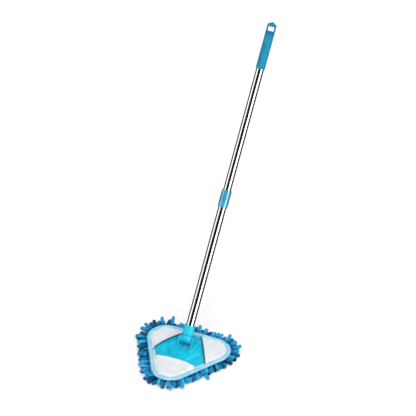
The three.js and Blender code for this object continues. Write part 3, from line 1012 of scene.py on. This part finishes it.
def plateHeight(point):
    # top of the plate: a low deck, its soft step and the fillets at the ears' feet
    sway = plateShape["step"]
    inset = insideBy(point, plateShape["deckReach"], plateShape["deckRadius"] + sway / 2)
    deck = easeIn(inset / sway) * plateShape["deckHeight"]
    crown = plateShape["crown"] * easeIn(inset / (20 * mm))
    gapX = max(0, abs(point.x) - earOuter)
    gapY = max(0, pin.y - plateShape["earFront"] - point.y, point.y - pin.y - plateShape["earBack"])
    fade = max(0, 1 - math.hypot(gapX, gapY) / plateShape["root"]) ** 2.4
    between = easeIn((abs(point.x) - earInner + 1.5 * mm) / (3 * mm))
    return plateRim + deck + crown + fade * between * plateShape["rootRise"]


def insideBy(point, reach, radius):
    # how far inside a three-cornered outline a point lies
    angles = [math.radians(angle) for angle in corners.values()]
    near = max(angles, key=lambda angle: point.dot(turned(angle)))
    return insetAt(point.dot(turned(near)), point.dot(turned(near + math.pi / 2)), reach, radius)


def plateBody():
    reach, outer, rim = plateReach, plateRadius, plateShape["rim"]
    deckReach, slopeFoot = plateShape["deckReach"], plateShape["deckRadius"] + plateShape["step"] / 2
    hollowRadius = plateShape["deckRadius"] - plateShape["deckHeight"] - plateShape["wall"]
    ceiling = deckTop - plateShape["wall"]

    def loop(reach, radius):
        return loopOf(reach, radius, plateShape["arcSteps"], plateShape["sideSteps"])

    hollow = loop(deckReach, hollowRadius)
    shares = (0.02, 0.25, 0.5, 0.75, 0.97)
    rings = [[(p.x * share, p.y * share, ceiling) for p in hollow] for share in shares]
    rings.append([(p.x, p.y, ceiling - 0.6 * mm) for p in hollow])
    rings.append([(p.x, p.y, plateLow + 0.4 * mm) for p in hollow])
    rings.append([(p.x, p.y, plateLow) for p in loop(deckReach, hollowRadius + 0.4 * mm)])
    rings.append([(p.x, p.y, plateLow) for p in loop(reach, outer - plateShape["lowerRim"])])
    rings.append([(p.x, p.y, plateLow + plateShape["lowerRim"]) for p in loop(reach, outer)])
    for step in range(plateShape["rimSteps"] + 1):
        angle = math.pi / 2 * step / plateShape["rimSteps"]
        height = plateRim - rim * (1 - math.sin(angle))
        rings.append([(p.x, p.y, height) for p in loop(reach, outer - rim * (1 - math.cos(angle)))])
    for step in range(1, plateShape["slopeSteps"] + 1):
        share = step / plateShape["slopeSteps"]
        radius = outer - rim + (slopeFoot - outer + rim) * share
        slope = loop(reach + (deckReach - reach) * share, radius)
        rings.append([(p.x, p.y, plateHeight(p)) for p in slope])
    deck = loop(deckReach, slopeFoot)
    for step in range(1, plateShape["deckSteps"]):
        share = 1 - step / plateShape["deckSteps"]
        rings.append([(p.x * share, p.y * share, plateHeight(p * share)) for p in deck])
    points, faces = lofted(rings, closed=False)
    count = len(hollow)
    faces.append(tuple(reversed(range(count))))
    faces.append(tuple(len(points) - count + i for i in range(count)))
    piece = makePiece("mop_plate", points, faces, "mop_head")
    bmeshTidy(piece)
    return piece


def earSolid(start):
    # an upright ear with a round head, from its foot inside the deck; its rims are rounded
    foot = deckTop - plateShape["earSink"]
    head, rise = plateShape["earHead"], pin.z - foot
    back, front = plateShape["earBack"], plateShape["earFront"]
    first, last = (math.asin(head / math.hypot(run, rise)) - math.atan2(run, rise) for run in (back, front))
    first, last = -first, math.pi + last
    steps = 24
    spots = [(pin.y + back, foot)]
    for step in range(steps + 1):
        angle = first + (last - first) * step / steps
        spots.append((pin.y + head * math.cos(angle), pin.z + head * math.sin(angle)))
    spots.append((pin.y - front, foot))
    tool = bmesh.new()
    face = tool.faces.new([tool.verts.new((start, y, z)) for y, z in spots])
    extruded = bmesh.ops.extrude_face_region(tool, geom=[face])
    moved = [item for item in extruded["geom"] if isinstance(item, bmesh.types.BMVert)]
    bmesh.ops.translate(tool, vec=(plateShape["earThickness"], 0, 0), verts=moved)
    bmesh.ops.recalc_face_normals(tool, faces=tool.faces)
    rims = [edge for edge in tool.edges if abs(edge.verts[0].co.x - edge.verts[1].co.x) < 0.01 * mm
            and max(v.co.z for v in edge.verts) > foot + 0.1 * mm]
    bmesh.ops.bevel(tool, geom=rims, offset=plateShape["earRound"], segments=3, profile=0.5, affect="EDGES")
    return tool


def basePlate():
    plate = plateBody()
    for start in (-earOuter, earInner):
        carve(plate, earSolid(start), "UNION")
    width, length = plateShape["slot"]
    front = pin.y - plateShape["slotAhead"]
    thin = plateShape["ribThickness"]
    ribFoot = plateLow + 0.3 * mm
    ribHeight = deckTop - plateShape["ribSink"] - ribFoot
    aside = plateShape["ribOffset"]
    ribs = [((thin, plateShape["ribLength"]), (x, plateShape["ribBack"])) for x in (-aside, aside)]
    ribs.append(((width + 4 * mm, thin), (0, front - 1.05 * mm)))
    ribs.append(((plateShape["crossRib"], thin), (0, plateShape["crossRibBack"])))
    for (wide, deep), (x, y) in ribs:
        carve(plate, boxSolid((wide, deep, ribHeight), (x, y, ribFoot + ribHeight / 2)), "UNION")
    slot = boxSolid((width, length, 30 * mm), (0, front + length / 2, deckTop))
    upright = [edge for edge in slot.edges if abs(edge.verts[0].co.z - edge.verts[1].co.z) > 10 * mm]
    bmesh.ops.bevel(slot, geom=upright, offset=plateShape["slotRound"], segments=4, profile=0.5,
                    affect="EDGES")
    carve(plate, slot, "DIFFERENCE")
    gap, beyond = plateShape["boreGap"], earOuter + 1 * mm
    capLow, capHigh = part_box("pin_cap_right")
    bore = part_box("pivot_pin")[1].z - pin.z + gap
    seat = capHigh.z - pin.z + gap
    carve(plate, rodSolid(bore, -beyond, beyond), "DIFFERENCE")
    carve(plate, rodSolid(seat, capLow.x - gap, beyond), "DIFFERENCE")
    carve(plate, rodSolid(seat, -beyond, gap - capLow.x), "DIFFERENCE")
    tidied(plate, 32)
    dress(plate, "head")
    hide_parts("base_plate")
    return plate


backingCloth()
binding, tapeWidth, tapeLength = bindingTape()
stitches = bindingStitches(binding)
flaps = [pocketFlap(place, angle) for place, angle in corners.items()]
pocketStitches(flaps)
print("cover cloth, binding and pockets sewn")
plate = basePlate()
print("base plate moulded:", len(plate.data.polygons), "faces")


# Pieces that keep the frame's shape

kept = {                         # finish, and the width in mm by which edges are rounded
    "pivot_pin": ("screw", 0.25), "pin_cap_left": ("head", 0.3), "pin_cap_right": ("head", 0.3),
    "swivel_knuckle": ("head", 0.5), "swivel_washer": ("screw", 0.15), "swivel_screw": ("screw", 0.1),
    "pole_socket": ("head", 0.5), "socket_screw": ("screw", 0.1), "lower_tube": ("tube", 0),
    "thread_ferrule": ("nylon", 0.15), "split_collet": ("nylon", 0.1), "lock_collar": ("collar", 0.3),
    "upper_tube": ("tube", 0), "guide_bush": ("nylon", 0.2), "grip_sleeve": ("grip", 0.3),
    "hanger_loop": ("grip", 0.6),
}
weld = 0.002 * mm


def finishKept():
    # joins the facets, rounds the edges and evens out the shading
    for name, (finish, rounding) in kept.items():
        node = frame["nodes"][name]
        node.data.shade_smooth()
        dress(node, finish)
        join = node.modifiers.new("joinedFacets", "WELD")
        join.merge_threshold = weld
        if rounding:
            soft = node.modifiers.new("roundedEdges", "BEVEL")
            soft.width = rounding * mm
            soft.segments = 3
            soft.limit_method = "ANGLE"
            soft.angle_limit = math.radians(35)
            soft.use_clamp_overlap = True
        even = node.modifiers.new("evenNormals", "WEIGHTED_NORMAL")
        even.mode = "FACE_AREA_WITH_ANGLE"


finishKept()
print("kept pieces finished:", len(kept))


# Studio

studio = {
    "aim": Vector((-0.0372, 0.2366, 0.3186)),
    "azimuth": 25,
    "elevation": 37.5,
    "distance": 24.37,
    "lens": 800,
    "floorHalf": 40,
    "floorGlow": 0.17,
    "boardDistance": 1.9,
    "boardHalf": 3,
    "boardSteps": 8,
    "sky": 0.3,
    "sun": {"strength": 2.16, "from": (36, 60), "softness": 60, "distance": 4},
}


def directionFrom(azimuth, elevation):
    a, e = math.radians(azimuth), math.radians(elevation)
    return Vector((math.sin(a) * math.cos(e), -math.cos(a) * math.cos(e), math.sin(e)))


def placeCamera():
    camera = bpy.data.objects.new("camera", bpy.data.cameras.new("camera"))
    camera.data.lens = studio["lens"]
    camera.data.sensor_width = 36
    back = directionFrom(studio["azimuth"], studio["elevation"])
    camera.location = studio["aim"] + back * studio["distance"]
    camera.rotation_euler = back.to_track_quat("Z", "Y").to_euler()
    bpy.context.scene.collection.objects.link(camera)
    bpy.context.scene.camera = camera


def paintFlat(name, colour, light, strength):
    return Paint(name, {"Base Color": colour, "Roughness": 0.9, "Emission Color": light,
                        "Emission Strength": strength, "Specular IOR Level": 0.1}).material


def layFloor():
    half = studio["floorHalf"]
    mesh = bpy.data.meshes.new("floor")
    square = [(-half, -half, 0), (half, -half, 0), (half, half, 0), (-half, half, 0)]
    mesh.from_pydata(square, [], [(0, 1, 2, 3)])
    floor = bpy.data.objects.new("floor", mesh)
    floor.location.z = -0.5 * mm
    floor.visible_glossy = False
    bpy.context.scene.collection.objects.link(floor)
    mesh.materials.append(paintFlat("paleFloor", (1, 1, 1, 1), (1, 1, 1, 1), studio["floorGlow"]))


# Reflection boards round the pole, seen only in gloss: degrees about the pole from the camera's side,
# going right, and how bright each is
boards = [
    (-46, 32, 0.0), (32, 64, 3.4), (64, 75, 1.2), (75, 180, 0.03), (180, 272, 0.03), (272, 314, 1.2),
]


def aboutPole(degrees):
    # a direction square to the pole, so far round it to the right of the camera's side
    back = directionFrom(studio["azimuth"], studio["elevation"])
    toward = (back - poleUp * back.dot(poleUp)).normalized()
    angle = math.radians(degrees)
    return math.cos(angle) * toward + math.sin(angle) * poleUp.cross(toward)


def standBoards():
    centre = pin + poleUp * 0.4
    steps, high = studio["boardSteps"], studio["boardHalf"] * poleUp
    faces = [(2 * i, 2 * i + 1, 2 * i + 3, 2 * i + 2) for i in range(steps)]
    for number, (start, end, bright) in enumerate(boards):
        rows = []
        for step in range(steps + 1):
            foot = centre + studio["boardDistance"] * aboutPole(start + (end - start) * step / steps)
            rows += [foot - high, foot + high]
        mesh = bpy.data.meshes.new(f"board{number}")
        mesh.from_pydata(rows, [], faces)
        mesh.materials.append(paintFlat(f"board{number}", (0, 0, 0, 1), (bright, bright, bright, 1), 1))
        board = bpy.data.objects.new(f"board{number}", mesh)
        bpy.context.scene.collection.objects.link(board)
        board.visible_camera = board.visible_diffuse = board.visible_shadow = False
        board.visible_transmission = board.visible_volume_scatter = False


def hangLights():
    world = bpy.data.worlds.new("sky")
    bpy.context.scene.world = world
    world.use_nodes = True
    world.node_tree.nodes["Background"].inputs["Color"].default_value = (1, 1, 1, 1)
    world.node_tree.nodes["Background"].inputs["Strength"].default_value = studio["sky"]
    broad = studio["sun"]
    sun = bpy.data.lights.new("broadSun", "SUN")
    sun.energy = broad["strength"]
    sun.angle = math.radians(broad["softness"])
    addLight(sun, directionFrom(*broad["from"]), broad["distance"])


def addLight(light, direction, distance):
    lamp = bpy.data.objects.new(light.name, light)
    lamp.location = studio["aim"] + direction * distance
    lamp.rotation_euler = direction.to_track_quat("Z", "Y").to_euler()
    lamp.visible_camera = False
    bpy.context.scene.collection.objects.link(lamp)


placeCamera()
layFloor()
standBoards()
hangLights()
bpy.context.scene.view_settings.view_transform = "Standard"
print("studio set")
